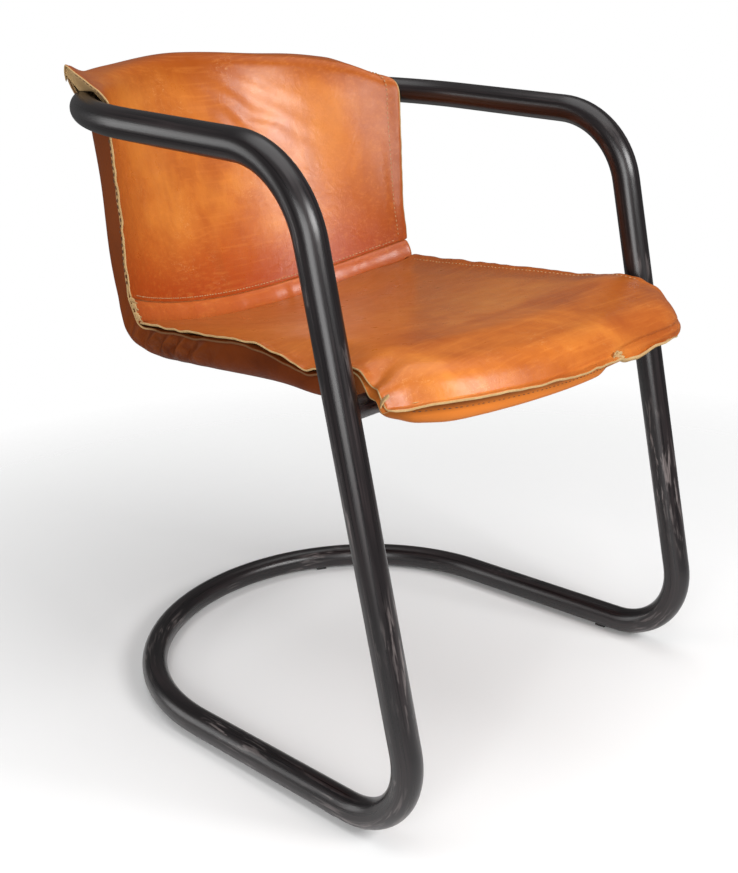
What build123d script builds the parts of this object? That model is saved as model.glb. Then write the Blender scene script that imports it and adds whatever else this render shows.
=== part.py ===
"""Armchair: a continuous bent steel tube frame that carries a moulded bucket in a padded leather cover.

Millimetres, +Z up, the sitter faces -Y, so the sitter's left side is +X.
The origin is on the floor, in the middle of the chair's footprint.
"""

import os
from math import atan2, cos, radians, sin, sqrt, tan

from build123d import *

os.makedirs("parts", exist_ok=True)

# Steel frame. Reaches run back from the front foot corner, heights run up from the floor.
TUBE_OD = 32.0
TUBE_WALL = 2.0
LOOP_RADIUS = 262.0
FLOOR_LOOP_REACH = 608.0
TOP_LOOP_REACH = 617.0
TOP_LOOP_HEIGHT = 724.0
ARM_CORNER_REACH = 122.0
ARM_CORNER_HEIGHT = 675.0
FOOT_BEND_RADIUS = 85.0
ARM_BEND_RADIUS = 102.0
SPIGOT_LENGTH = 50.0
SPIGOT_GAP = 0.2
WELD_GAP = 0.15

# Cross tube between the legs, under the front of the seat
CROSS_OD = 22.0
CROSS_WALL = 2.0
CROSS_DROP = 42.0

# Floor glides
GLIDE_PAD = 2.5
GLIDE_LENGTH = 14.0
GLIDE_WIDTH = 12.0
GLIDE_HEIGHT = 4.5
GLIDE_CHAMFER = 0.8
GLIDE_GAP = 0.5
GLIDE_PEG_RADIUS = 3.0
GLIDE_PEG_RISE = 7.0
FRONT_GLIDE_REACH = 125.0
REAR_GLIDE_ANGLE = 55.0

# Layers of the upholstery, from the visible leather inwards
LEATHER = 2.8
FOAM = 11.0
SHELL = 8.0
LAYER_GAP = 0.3
SEAM_GAP = 0.15

# Outline of the seat and back. Bows and lifts are the change from the middle to the side seams.
SIDE_ROOM = 32.0
FOAM_INSET = 12.0
SHELL_INSET = 30.0
FRONT_OVERHANG = 25.0
FRONT_BOW = 60.0
FRONT_EDGE_DROP = 37.0
NOSE_RUN = 14.0
NOSE_RISE = 27.0
NOSE_RADIUS = 40.0
CREST_SETBACK = 75.0
CREST_HEIGHT = 492.0
CREST_DROP = 5.0
CREST_RADIUS = 90.0
FOLD_SET_IN = 114.0
FOLD_BOW = 78.0
SEAT_FALL = 49.0
FOLD_LIFT = 42.0
FOLD_RADIUS = 10.0
STRIP_WIDTH = 26.0
STRIP_ANGLE = 68.0
INNER_SPANS = 4
BACK_SET_IN = 45.0
BACK_GAUGE_DROP = 24.0
SHELL_TOP_DROP = 34.0
RIDGE_RISE = 38.0
RIDGE_FRONT_DROP = 26.5
RIDGE_RADIUS = 25.0
SLEEVE_ROOM = 3.2
SLEEVE_RADIUS = 10.0
SLEEVE_TUCK = 22.0
CHANNEL_GAP = 0.9

# Outer cover, measured as its depth behind the visible leather
BODY_DEPTH = 38.0
RIM_DEPTH = 6.2
EDGE_ROUND = 30.0
FRONT_DEPTH = 64.0
RIM_FRONT_DEPTH = 41.0
ROLL_DEPTH = 50.0
UNDER_SETBACK = 16.0
UNDER_RADIUS = 12.0
COVER_LAP = 6.0
COVER_END_GAP = 1.2
FLAP_GAP = 2.0
ROLL_REACH = 140.0
PAD_TOP_DROP = 6.0

# Steel tabs and their fasteners
TAB_THICKNESS = 4.0
TAB_WIDTH = 44.0
TAB_GAP = 0.6
TAB_OFFSET = 60.0
TAB_CORNER = 5.0
SEAT_TAB_LENGTH = 60.0
SEAT_TAB_FRONT = 14.0
SEAT_BOLT_SETBACK = 30.0
BACK_TAB_DROP = 62.0
BACK_TAB_LENGTH = 66.0
BACK_BOLT_RISE = 9.0
BOLT_SPACING = 26.0
HEX_SIDES = 6
BOLT_RADIUS = 3.0
BOLT_HEAD_RADIUS = 5.5
BOLT_HEAD_HEIGHT = 3.3
BOLT_FIT = 0.1
NUT_BARREL_RADIUS = 4.0
NUT_FLANGE_RADIUS = 8.0
NUT_FLANGE = 1.2
NUT_RECESS = 1.8
NUT_FIT = 0.2
POCKET_GAP = 2.0
TUBE_HOLE_GAP = 1.5

# Derived places
cover_half = LOOP_RADIUS - SIDE_ROOM
foam_half = cover_half - FOAM_INSET
shell_half = cover_half - SHELL_INSET
tube_radius = TUBE_OD / 2
cross_radius = CROSS_OD / 2
rear_reach = TOP_LOOP_REACH + tube_radius + SLEEVE_ROOM + LEATHER
foot_y = (FRONT_OVERHANG - rear_reach) / 2
rail_z = GLIDE_PAD + tube_radius
arm_slope = atan2(TOP_LOOP_HEIGHT - ARM_CORNER_HEIGHT, TOP_LOOP_REACH - ARM_CORNER_REACH)
top_loop_y = foot_y + TOP_LOOP_REACH - LOOP_RADIUS * cos(arm_slope)
top_loop_z = TOP_LOOP_HEIGHT - LOOP_RADIUS * sin(arm_slope)
floor_loop_y = foot_y + FLOOR_LOOP_REACH - LOOP_RADIUS
floor_loop = Plane(origin=(0, floor_loop_y, rail_z))
top_loop = Plane(
    origin=(0, top_loop_y, top_loop_z), x_dir=(1, 0, 0), z_dir=(0, -sin(arm_slope), cos(arm_slope))
)
leg_foot = Vector(foot_y, rail_z)
leg_top = Vector(foot_y + ARM_CORNER_REACH, ARM_CORNER_HEIGHT)
leg_line = (leg_top - leg_foot).normalized()
cross_z = CREST_HEIGHT - CROSS_DROP
cross_y = foot_y + leg_line.X / leg_line.Y * (cross_z - rail_z)
shell_top_z = TOP_LOOP_HEIGHT - SHELL_TOP_DROP
back_gauge = Vector(foot_y + TOP_LOOP_REACH - BACK_SET_IN, TOP_LOOP_HEIGHT - BACK_GAUGE_DROP)

foam_near = LEATHER + LAYER_GAP
foam_far = foam_near + FOAM
shell_near = foam_far + LAYER_GAP
shell_far = shell_near + SHELL
pad_near = shell_far + LAYER_GAP

# Corner numbers along the visible leather's line, from the front edge to the end of the top sleeve
FRONT, NOSE, CREST, ROLL_END, FOLD, STRIP_TOP = range(6)
SHELL_TOP, TOP_FRONT, TOP_REAR, SLEEVE_BOTTOM, SLEEVE_END = range(6, 11)
SKIN_RADII = (
    0, NOSE_RADIUS, CREST_RADIUS, 0, FOLD_RADIUS, 0,
    0, RIDGE_RADIUS, RIDGE_RADIUS, SLEEVE_RADIUS, 0,
)

# Runs that turn by less than this are in line
STRAIGHT = 1e-6

# Corner numbers along the outer cover's line, from the front edge, under the seat and up the back
COVER_FRONT, UNDER, ROLL_FOOT, HEEL, PAD_TOP, COVER_END = range(6)


def bow(x, depth):
    """How far a circular arc that falls by depth at the side seams has fallen at x."""
    radius = (cover_half**2 + depth**2) / (2 * depth)
    return radius - sqrt(radius**2 - x**2)


def loop_bow(x):
    """How far the top loop, which the back follows, has come forward at x."""
    return LOOP_RADIUS - sqrt(LOOP_RADIUS**2 - x**2)


def slant(x):
    """How much longer than square across a wall of the curved back its upright section is at x."""
    return LOOP_RADIUS / sqrt(LOOP_RADIUS**2 - x**2)


def right_of(direction):
    """The unit direction to the right of a direction in an upright section."""
    return Vector(direction.Y, -direction.X)


def on_line(start, direction, height):
    """The point of a line at a height."""
    return start + direction * ((height - start.Y) / direction.Y)


def tube_centre(x):
    """The top loop's centre in the upright section at x."""
    run = sqrt(LOOP_RADIUS**2 - x**2)
    return Vector(top_loop_y + run * cos(arm_slope), top_loop_z + run * sin(arm_slope))


def skin(x):
    """Corners of the visible leather's outer line in the upright section at x."""
    share = (x / cover_half) ** 2
    front = Vector(foot_y - FRONT_OVERHANG + FRONT_BOW * share, CREST_HEIGHT - FRONT_EDGE_DROP)
    nose = front + Vector(NOSE_RUN, NOSE_RISE)
    crest = Vector(front.X + CREST_SETBACK, CREST_HEIGHT - CREST_DROP * share)
    fold_y = foot_y + TOP_LOOP_REACH - FOLD_SET_IN - bow(x, FOLD_BOW)
    fold = Vector(fold_y, CREST_HEIGHT - SEAT_FALL + FOLD_LIFT * share)
    roll_end = crest + (fold - crest) * ((foot_y + ROLL_REACH - crest.X) / (fold.X - crest.X))
    strip_top = fold + Vector(cos(radians(STRIP_ANGLE)), sin(radians(STRIP_ANGLE))) * STRIP_WIDTH
    back_line = (back_gauge - Vector(loop_bow(x), 0) - strip_top).normalized()
    shell_top = on_line(strip_top, back_line, shell_top_z)
    tube = tube_centre(x)
    ridge_z = tube.Y + RIDGE_RISE
    top_front = on_line(strip_top, back_line, ridge_z - RIDGE_FRONT_DROP * share)
    half_chord = tube_radius * slant(x)
    rear_y = tube.X + half_chord + (SLEEVE_ROOM + LEATHER) * slant(x)
    top_rear = Vector(rear_y, ridge_z)
    sleeve_bottom = Vector(rear_y, tube.Y - tube_radius - SLEEVE_ROOM - LEATHER)
    tuck_height = tube.Y - tube_radius - SLEEVE_TUCK
    cover_line = strip_top + right_of(back_line) * (cover_depth(x) * slant(x))
    sleeve_end = on_line(cover_line, back_line, tuck_height) + Vector(FLAP_GAP, 0)
    return (
        front, nose, crest, roll_end, fold, strip_top,
        shell_top, top_front, top_rear, sleeve_bottom, sleeve_end,
    )


def skin_stops(x, depth):
    """Stops of the visible leather's line at x, moved inwards by a depth that is square to each wall."""
    seat = [depth] * FOLD
    back = [depth * slant(x)] * (TOP_FRONT - FOLD)
    sleeve = [depth, depth * slant(x), depth]
    return stops(skin(x), SKIN_RADII, seat + back + sleeve)


def cover_stops(x, depth):
    """Stops of the outer cover's outside line at x, moved inwards by a depth that is square to each wall."""
    corners, radii = cover(x)
    seat = [-depth] * HEEL
    back = [-depth * slant(x)] * (COVER_END - HEEL)
    return stops(corners, radii, seat + back)


def edge_share(x):
    """1 over the flat of the cover, falling round a quarter turn to 0 at the side seams."""
    past = max(0.0, abs(x) - cover_half + EDGE_ROUND) / EDGE_ROUND
    return sqrt(max(0.0, 1 - past**2))


def eased(rim, middle, x):
    """A depth at x that is drawn in from the middle's to the rim's over the rounded edge."""
    return rim + (middle - rim) * edge_share(x)


def cover_depth(x):
    """Depth of the outer cover behind the visible leather at x."""
    return eased(RIM_DEPTH, BODY_DEPTH, x)


def cover(x):
    """Corners of the outer cover's outside line in the upright section at x, and their radii."""
    line = skin(x)
    depth = cover_depth(x)
    rise = (line[NOSE] - line[FRONT]).normalized()
    seat_line = (line[FOLD] - line[CREST]).normalized()
    back_line = (line[SHELL_TOP] - line[STRIP_TOP]).normalized()
    cover_front = line[FRONT] + rise * COVER_LAP + right_of(rise) * foam_near
    front_depth = eased(RIM_FRONT_DEPTH, FRONT_DEPTH, x)
    under = Vector(line[FRONT].X + UNDER_SETBACK, line[CREST].Y - front_depth)
    roll_foot = line[ROLL_END] + right_of(seat_line) * eased(RIM_DEPTH, ROLL_DEPTH, x)
    seat_under = line[FOLD] + right_of(seat_line) * depth
    back_behind = line[STRIP_TOP] + right_of(back_line) * (depth * slant(x))
    apart = back_behind - seat_under
    turn = seat_line.X * back_line.Y - seat_line.Y * back_line.X
    heel = seat_under + seat_line * ((apart.X * back_line.Y - apart.Y * back_line.X) / turn)
    end_height = tube_centre(x).Y - tube_radius - SLEEVE_TUCK - COVER_END_GAP
    pad_top = on_line(heel, back_line, end_height - PAD_TOP_DROP)
    cover_end = on_line(heel, back_line, end_height)
    return (
        (cover_front, under, roll_foot, heel, pad_top, cover_end),
        (0, UNDER_RADIUS, 0, FOLD_RADIUS + depth, 0, 0),
    )


def stops(corners, radii, depths):
    """Where each corner of a rounded line begins, bends and ends.

    Each straight run of the line is first moved to its right by its own depth.
    """
    runs = [(end - start).normalized() for start, end in zip(corners, corners[1:])]
    found = []
    for i, (corner, radius) in enumerate(zip(corners, radii)):
        into, out = runs[max(i - 1, 0)], runs[min(i, len(runs) - 1)]
        depth_in, depth_out = depths[max(i - 1, 0)], depths[min(i, len(runs) - 1)]
        turn = into.X * out.Y - into.Y * out.X
        meet = corner + right_of(into) * depth_in
        if abs(turn) > STRAIGHT:
            meet += into * ((depth_out - depth_in * into.dot(out)) / turn)
        if radius == 0:
            found.append((meet, None, meet))
            continue
        hand = 1 if turn > 0 else -1
        bend = radius + hand * (depth_in + depth_out) / 2
        setback = bend * tan(atan2(abs(turn), into.dot(out)) / 2)
        begin = meet - into * setback
        centre = begin - right_of(into) * (hand * bend)
        middle = centre + (meet - centre).normalized() * bend
        found.append((begin, middle, meet + out * setback))
    return found


def trace(points, first, last):
    """Draw a rounded line from one corner to another, and give its two ends, each a seam gap short.

    It starts where the first corner begins, and ends where the last corner begins.
    """
    start = points[first][0]
    toward = points[first][1] or points[first + 1][0]
    start = start + (toward - start).normalized() * SEAM_GAP
    before_end = points[last - 1][2]
    end = points[last][0] + (before_end - points[last][0]).normalized() * SEAM_GAP
    at = start
    for begin, middle, finish in points[first:last]:
        if (begin - at).length > SEAM_GAP * 2:
            Line(at, begin)
            at = begin
        if middle is not None:
            ThreePointArc(at, middle, finish)
            at = finish
    Line(at, end)
    return start, end


def band(x, near, far, first, last):
    """Section of one layer at x, between two depths under the visible leather."""
    with BuildSketch(Plane.YZ.offset(x)) as section:
        with BuildLine():
            near_start, near_end = trace(skin_stops(x, near), first, last)
            far_start, far_end = trace(skin_stops(x, far), first, last)
            Line(near_start, far_start)
            Line(near_end, far_end)
        make_face()
    return section.sketch


def filling(x, skin_depth, first, last, cover_depth_in, cover_first, cover_last):
    """Section at x that fills from a depth under the visible leather to a depth inside the outer cover."""
    with BuildSketch(Plane.YZ.offset(x)) as section:
        with BuildLine():
            near_start, near_end = trace(skin_stops(x, skin_depth), first, last)
            far_start, far_end = trace(cover_stops(x, cover_depth_in), cover_first, cover_last)
            Line(near_start, far_start)
            Line(near_end, far_end)
        make_face()
    return section.sketch


def sleeve_filling(x):
    """Section at x of the padding that lies in front of the top tube and over it, inside the sleeve."""
    tube = tube_centre(x)
    tube_front = tube.X - (tube_radius + CHANNEL_GAP) * slant(x)
    tube_top = tube.Y + tube_radius + CHANNEL_GAP
    with BuildSketch(Plane.YZ.offset(x)) as section:
        with BuildLine():
            front_foot, top_rear = trace(skin_stops(x, foam_near), SHELL_TOP, TOP_REAR)
            Polyline(
                top_rear,
                (top_rear.X, tube_top),
                (tube_front, tube_top),
                (tube_front, front_foot.Y),
                front_foot,
            )
        make_face()
    return section.sketch


def cover_band(x):
    """Section of the outer cover at x."""
    with BuildSketch(Plane.YZ.offset(x)) as section:
        with BuildLine():
            out_start, out_end = trace(cover_stops(x, 0), COVER_FRONT, COVER_END)
            in_start, in_end = trace(cover_stops(x, LEATHER), COVER_FRONT, COVER_END)
            Line(out_start, in_start)
            Line(out_end, in_end)
        make_face()
    return section.sketch


def across(half):
    """Section places from one side to the other, the same for every layer so that their facets nest."""
    inner = [shell_half * share / INNER_SPANS for share in range(INNER_SPANS + 1)]
    right = [x for x in inner + [foam_half, cover_half] if x <= half]
    return [-x for x in reversed(right[1:])] + right


# Frame tubes: half the floor loop, the foot bend, leg, arm bend, arm and half the top loop
with BuildLine(floor_loop) as floor_arc:
    CenterArc((0, 0), LOOP_RADIUS, 0, 90)
with BuildLine(top_loop) as top_arc:
    CenterArc((0, 0), LOOP_RADIUS, 0, 90)
with BuildLine(Plane.YZ.offset(LOOP_RADIUS)) as side_run:
    FilletPolyline(
        (floor_loop_y, rail_z),
        (leg_foot.X, leg_foot.Y),
        (leg_top.X, leg_top.Y),
        (top_loop_y, top_loop_z),
        radius=[FOOT_BEND_RADIUS, ARM_BEND_RADIUS],
    )
with BuildLine() as tube_path:
    add(floor_arc.line)
    add(side_run.line)
    add(top_arc.line)

rear_glide = radians(REAR_GLIDE_ANGLE)
glide_spots = (
    (LOOP_RADIUS, foot_y + FRONT_GLIDE_REACH),
    (LOOP_RADIUS * cos(rear_glide), floor_loop_y + LOOP_RADIUS * sin(rear_glide)),
)

with BuildPart() as frame_tube_left:
    with BuildSketch(Plane(origin=(0, floor_loop_y + LOOP_RADIUS, rail_z), z_dir=(1, 0, 0))):
        Circle(tube_radius)
        Circle(tube_radius - TUBE_WALL, mode=Mode.SUBTRACT)
    sweep(path=tube_path.wire())
    with BuildSketch():
        with Locations(*glide_spots):
            Circle(GLIDE_PEG_RADIUS + GLIDE_GAP)
    extrude(amount=rail_z, mode=Mode.SUBTRACT)

with BuildPart() as frame_tube_right:
    add(mirror(frame_tube_left.part, about=Plane.YZ))

# Straight spigots inside the curved tube ends, where the two halves meet at the back of each loop
spigot_sag = SPIGOT_LENGTH**2 / (8 * LOOP_RADIUS)
spigot_radius = tube_radius - TUBE_WALL - SPIGOT_GAP - spigot_sag / 2


def loop_section(loop, angle):
    """The upright plane that cuts a loop square at an angle round it, with its origin on the tube's centre."""
    outward = loop.x_dir * cos(radians(angle)) + loop.y_dir * sin(radians(angle))
    return Plane(origin=loop.origin + outward * LOOP_RADIUS, x_dir=outward, z_dir=outward.cross(loop.z_dir))


def loop_axis(loop):
    """The axis that a loop's arc turns about."""
    return Axis(loop.origin, loop.z_dir)


spigots = []
for loop in (floor_loop, top_loop):
    joint = loop_section(loop, 90)
    with BuildPart() as spigot:
        with BuildSketch(joint):
            with Locations((-spigot_sag / 2, 0)):
                Circle(spigot_radius)
        extrude(amount=SPIGOT_LENGTH / 2, both=True)
    spigots.append(spigot)

# Space that the top loop, the legs and the cross tube take up, for the pieces that fit round them
with BuildPart() as top_loop_room:
    with BuildSketch(loop_section(top_loop, 0)):
        Circle(tube_radius + LAYER_GAP)
    revolve(axis=loop_axis(top_loop), revolution_arc=180)

with BuildPart() as leg_room:
    for side in (-1, 1):
        leg_start = Vector(side * LOOP_RADIUS, leg_foot.X, leg_foot.Y)
        leg_way = Vector(0, leg_line.X, leg_line.Y)
        with BuildSketch(Plane(origin=leg_start, z_dir=leg_way)):
            Circle(tube_radius + WELD_GAP)
        extrude(amount=(leg_top - leg_foot).length)

cross_middle = Plane(origin=(0, cross_y, cross_z), x_dir=(0, 1, 0), z_dir=(1, 0, 0))

with BuildPart() as cross_room:
    with BuildSketch(cross_middle):
        Circle(cross_radius + LAYER_GAP)
    extrude(amount=LOOP_RADIUS, both=True)

# Cross tube, its ends shaped to the legs
with BuildPart() as front_cross_tube:
    with BuildSketch(cross_middle):
        Circle(cross_radius)
        Circle(cross_radius - CROSS_WALL, mode=Mode.SUBTRACT)
    extrude(amount=LOOP_RADIUS - tube_radius / 2, both=True)
    add(leg_room.part, mode=Mode.SUBTRACT)

# Moulded shell, and the tabs and fasteners that hold it to the two tubes


def seat_tab_plane(side):
    """Plane on the shell's underside over the cross tube, with X forwards to back and Z down."""
    x = side * TAB_OFFSET

    def height(place):
        line = skin(place)
        slope = (line[FOLD].Y - line[CREST].Y) / (line[FOLD].X - line[CREST].X)
        return line[CREST].Y + slope * (cross_y - line[CREST].X), slope

    (middle, slope), lean = height(x), (height(x + 1)[0] - height(x - 1)[0]) / 2
    down = Vector(lean, slope, -1).normalized()
    return Plane(origin=Vector(x, cross_y, middle) + down * shell_far, x_dir=(0, 1, slope), z_dir=down)


def back_tab_plane(side):
    """Plane on the shell's rear face below the top loop, with Y up and Z backwards."""
    x = side * TAB_OFFSET
    height = tube_centre(x).Y - BACK_TAB_DROP

    def reach(place):
        line = skin(place)
        back_line = (line[SHELL_TOP] - line[STRIP_TOP]).normalized()
        return on_line(line[STRIP_TOP], back_line, height).X, back_line

    (middle, back_line), lean = reach(x), (reach(x + 1)[0] - reach(x - 1)[0]) / 2
    across_back = Vector(1, lean, 0)
    up_back = Vector(0, back_line.X, back_line.Y)
    rear = up_back.cross(across_back).normalized()
    return Plane(origin=Vector(x, middle, height) + rear * shell_far, x_dir=across_back * -1, z_dir=rear)


seat_planes = [seat_tab_plane(side) for side in (1, -1)]
back_planes = [back_tab_plane(side) for side in (1, -1)]
seat_bolt_spots = [(SEAT_BOLT_SETBACK, -BOLT_SPACING / 2), (SEAT_BOLT_SETBACK, BOLT_SPACING / 2)]
back_bolt_spots = [(-BOLT_SPACING / 2, BACK_BOLT_RISE), (BOLT_SPACING / 2, BACK_BOLT_RISE)]
seat_tab_middle = (SEAT_TAB_LENGTH / 2 - SEAT_TAB_FRONT, 0)
back_tab_middle = (0, BACK_TAB_LENGTH / 2 - BACK_BOLT_RISE)
fixings = [(plane, seat_bolt_spots) for plane in seat_planes]
fixings += [(plane, back_bolt_spots) for plane in back_planes]

with BuildPart() as shell:
    loft(sections=[band(x, shell_near, shell_far, NOSE, SHELL_TOP) for x in across(shell_half)], ruled=True)
    for plane, spots in fixings:
        with BuildSketch(plane.offset(TAB_GAP)):
            with Locations(*spots):
                Circle(NUT_BARREL_RADIUS + NUT_FIT)
        extrude(amount=-(SHELL + 2 * TAB_GAP + FOAM / 2), mode=Mode.SUBTRACT)
        with BuildSketch(plane.offset(NUT_RECESS - SHELL)):
            with Locations(*spots):
                Circle(NUT_FLANGE_RADIUS + NUT_FIT)
        extrude(amount=-(NUT_RECESS + FOAM / 2), mode=Mode.SUBTRACT)


seat_tabs = []
for plane in seat_planes:
    with BuildPart() as seat_tab:
        with BuildSketch(plane.offset(TAB_GAP)):
            with Locations(seat_tab_middle):
                outline = Rectangle(SEAT_TAB_LENGTH, TAB_WIDTH)
            chamfer(outline.vertices(), TAB_CORNER)
            with Locations(*seat_bolt_spots):
                Circle(BOLT_RADIUS + BOLT_FIT, mode=Mode.SUBTRACT)
        extrude(amount=TAB_THICKNESS)
        add(cross_room.part, mode=Mode.SUBTRACT)
    seat_tabs.append(seat_tab)

back_tabs = []
for plane in back_planes:
    with BuildPart() as back_tab:
        with BuildSketch(plane.offset(TAB_GAP)):
            with Locations(back_tab_middle):
                outline = Rectangle(TAB_WIDTH, BACK_TAB_LENGTH)
            chamfer(outline.vertices(), TAB_CORNER)
            with Locations(*back_bolt_spots):
                Circle(BOLT_RADIUS + BOLT_FIT, mode=Mode.SUBTRACT)
        extrude(amount=TAB_THICKNESS)
        add(top_loop_room.part, mode=Mode.SUBTRACT)
    back_tabs.append(back_tab)

# Hexagon bolts through the tabs, into flanged barrel nuts let into the shell's padded face
bolt_groups = []
nut_groups = []
for planes, spots in ((seat_planes, seat_bolt_spots), (back_planes, back_bolt_spots)):
    with BuildPart() as bolt_group:
        for plane in planes:
            head_seat = plane.offset(TAB_GAP + TAB_THICKNESS)
            with BuildSketch(head_seat):
                with Locations(*spots):
                    RegularPolygon(BOLT_HEAD_RADIUS, HEX_SIDES)
            extrude(amount=BOLT_HEAD_HEIGHT)
            with BuildSketch(head_seat):
                with Locations(*spots):
                    Circle(BOLT_RADIUS)
            extrude(amount=-(TAB_GAP + TAB_THICKNESS + SHELL - NUT_RECESS))
    bolt_groups.append(bolt_group)
    with BuildPart() as nut_group:
        for plane in planes:
            flange_seat = plane.offset(NUT_RECESS - SHELL)
            with BuildSketch(flange_seat):
                with Locations(*spots):
                    RegularPolygon(NUT_FLANGE_RADIUS, HEX_SIDES)
                    Circle(BOLT_RADIUS + BOLT_FIT, mode=Mode.SUBTRACT)
            extrude(amount=-NUT_FLANGE)
            with BuildSketch(flange_seat):
                with Locations(*spots):
                    Circle(NUT_BARREL_RADIUS)
                    Circle(BOLT_RADIUS + BOLT_FIT, mode=Mode.SUBTRACT)
            extrude(amount=SHELL - NUT_RECESS - TAB_GAP)
    nut_groups.append(nut_group)

# Space behind the shell for the tabs and bolt heads
pocket_depth = TAB_GAP + TAB_THICKNESS + BOLT_HEAD_HEIGHT + POCKET_GAP
with BuildPart() as tab_pockets:
    for plane in seat_planes:
        with BuildSketch(plane.offset(-POCKET_GAP)):
            with Locations(seat_tab_middle):
                Rectangle(SEAT_TAB_LENGTH + 2 * POCKET_GAP, TAB_WIDTH + 2 * POCKET_GAP)
        extrude(amount=pocket_depth + POCKET_GAP)
    for plane in back_planes:
        with BuildSketch(plane.offset(-POCKET_GAP)):
            with Locations(back_tab_middle):
                Rectangle(TAB_WIDTH + 2 * POCKET_GAP, BACK_TAB_LENGTH + 2 * POCKET_GAP)
        extrude(amount=pocket_depth + POCKET_GAP)

# Padding
with BuildPart() as seat_foam:
    loft(sections=[band(x, foam_near, foam_far, NOSE, STRIP_TOP) for x in across(foam_half)], ruled=True)

with BuildPart() as back_foam:
    loft(sections=[band(x, foam_near, foam_far, STRIP_TOP, SHELL_TOP) for x in across(foam_half)], ruled=True)

with BuildPart() as front_roll_foam:
    roll_ends = (pad_near, NOSE, ROLL_END, foam_near, COVER_FRONT, ROLL_FOOT)
    loft(sections=[filling(x, *roll_ends) for x in across(shell_half)], ruled=True)
    add(cross_room.part, mode=Mode.SUBTRACT)
    add(tab_pockets.part, mode=Mode.SUBTRACT)

with BuildPart() as rear_pad:
    pad_ends = (pad_near, ROLL_END, SHELL_TOP, foam_near, ROLL_FOOT, PAD_TOP)
    loft(sections=[filling(x, *pad_ends) for x in across(shell_half)], ruled=True)
    add(tab_pockets.part, mode=Mode.SUBTRACT)

with BuildPart() as top_roll_foam:
    loft(sections=[sleeve_filling(x) for x in across(shell_half)], ruled=True)
    add(tab_pockets.part, mode=Mode.SUBTRACT)

# Leather
with BuildPart() as seat_panel:
    loft(sections=[band(x, 0, LEATHER, FRONT, FOLD) for x in across(cover_half)], ruled=True)

with BuildPart() as lumbar_strip:
    loft(sections=[band(x, 0, LEATHER, FOLD, STRIP_TOP) for x in across(cover_half)], ruled=True)

with BuildPart() as back_panel:
    loft(sections=[band(x, 0, LEATHER, STRIP_TOP, SLEEVE_END) for x in across(cover_half)], ruled=True)

# The outer cover's flat middle and its two rounded edges, with the holes for the cross tube
flat_half = cover_half - EDGE_ROUND
edge_places = [flat_half + EDGE_ROUND * sin(radians(angle)) for angle in (0, 30, 60, 90)]
with BuildPart() as outer_cover:
    loft(sections=[cover_band(x) for x in across(flat_half)], ruled=True)
    for side in (-1, 1):
        loft(sections=[cover_band(side * x) for x in edge_places], ruled=True)
    with BuildSketch(cross_middle):
        Circle(cross_radius + TUBE_HOLE_GAP)
    extrude(amount=LOOP_RADIUS, both=True, mode=Mode.SUBTRACT)

# Floor glides: saddles under the tube with a peg that snaps into it
glides = {}
for side, hand in ((1, "left"), (-1, "right")):
    for place, turn, (x, y) in zip(("front", "rear"), (0, REAR_GLIDE_ANGLE), glide_spots):
        with BuildPart() as glide:
            along = Vector(-side * sin(radians(turn)), cos(radians(turn)), 0)
            rail = Plane(origin=(side * x, y, rail_z), x_dir=along.cross(Vector(0, 0, 1)), z_dir=along)
            with BuildSketch(rail):
                with Locations((0, rail_z - GLIDE_HEIGHT / 2)):
                    Rectangle(GLIDE_WIDTH, GLIDE_HEIGHT)
                Circle(tube_radius + GLIDE_GAP, mode=Mode.SUBTRACT)
            extrude(amount=GLIDE_LENGTH / 2, both=True)
            chamfer(glide.faces().sort_by(Axis.Z)[0].edges(), GLIDE_CHAMFER)
            with BuildSketch():
                with Locations((side * x, y)):
                    Circle(GLIDE_PEG_RADIUS)
            extrude(amount=GLIDE_PAD / 2 + GLIDE_PEG_RISE)
        glides[f"glide_{place}_{hand}"] = glide

pieces = {
    "frame_tube_left": frame_tube_left,
    "frame_tube_right": frame_tube_right,
    "floor_spigot": spigots[0],
    "top_spigot": spigots[1],
    "front_cross_tube": front_cross_tube,
    "seat_tab_left": seat_tabs[0],
    "seat_tab_right": seat_tabs[1],
    "back_tab_left": back_tabs[0],
    "back_tab_right": back_tabs[1],
    "seat_bolts": bolt_groups[0],
    "back_bolts": bolt_groups[1],
    "seat_tee_nuts": nut_groups[0],
    "back_tee_nuts": nut_groups[1],
    "shell": shell,
    "seat_foam": seat_foam,
    "back_foam": back_foam,
    "front_roll_foam": front_roll_foam,
    "rear_pad": rear_pad,
    "top_roll_foam": top_roll_foam,
    "seat_panel": seat_panel,
    "lumbar_strip": lumbar_strip,
    "back_panel": back_panel,
    "outer_cover": outer_cover,
    **glides,
}
for name, piece in pieces.items():
    piece.part.label = name
    export_step(piece.part, f"parts/{name}.step")
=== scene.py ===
from bisect import bisect_right
from math import atan2, cos, exp, pi, radians, sin, sqrt, tan

import bmesh
import bpy
from mathutils import Matrix, Vector, noise


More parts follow.
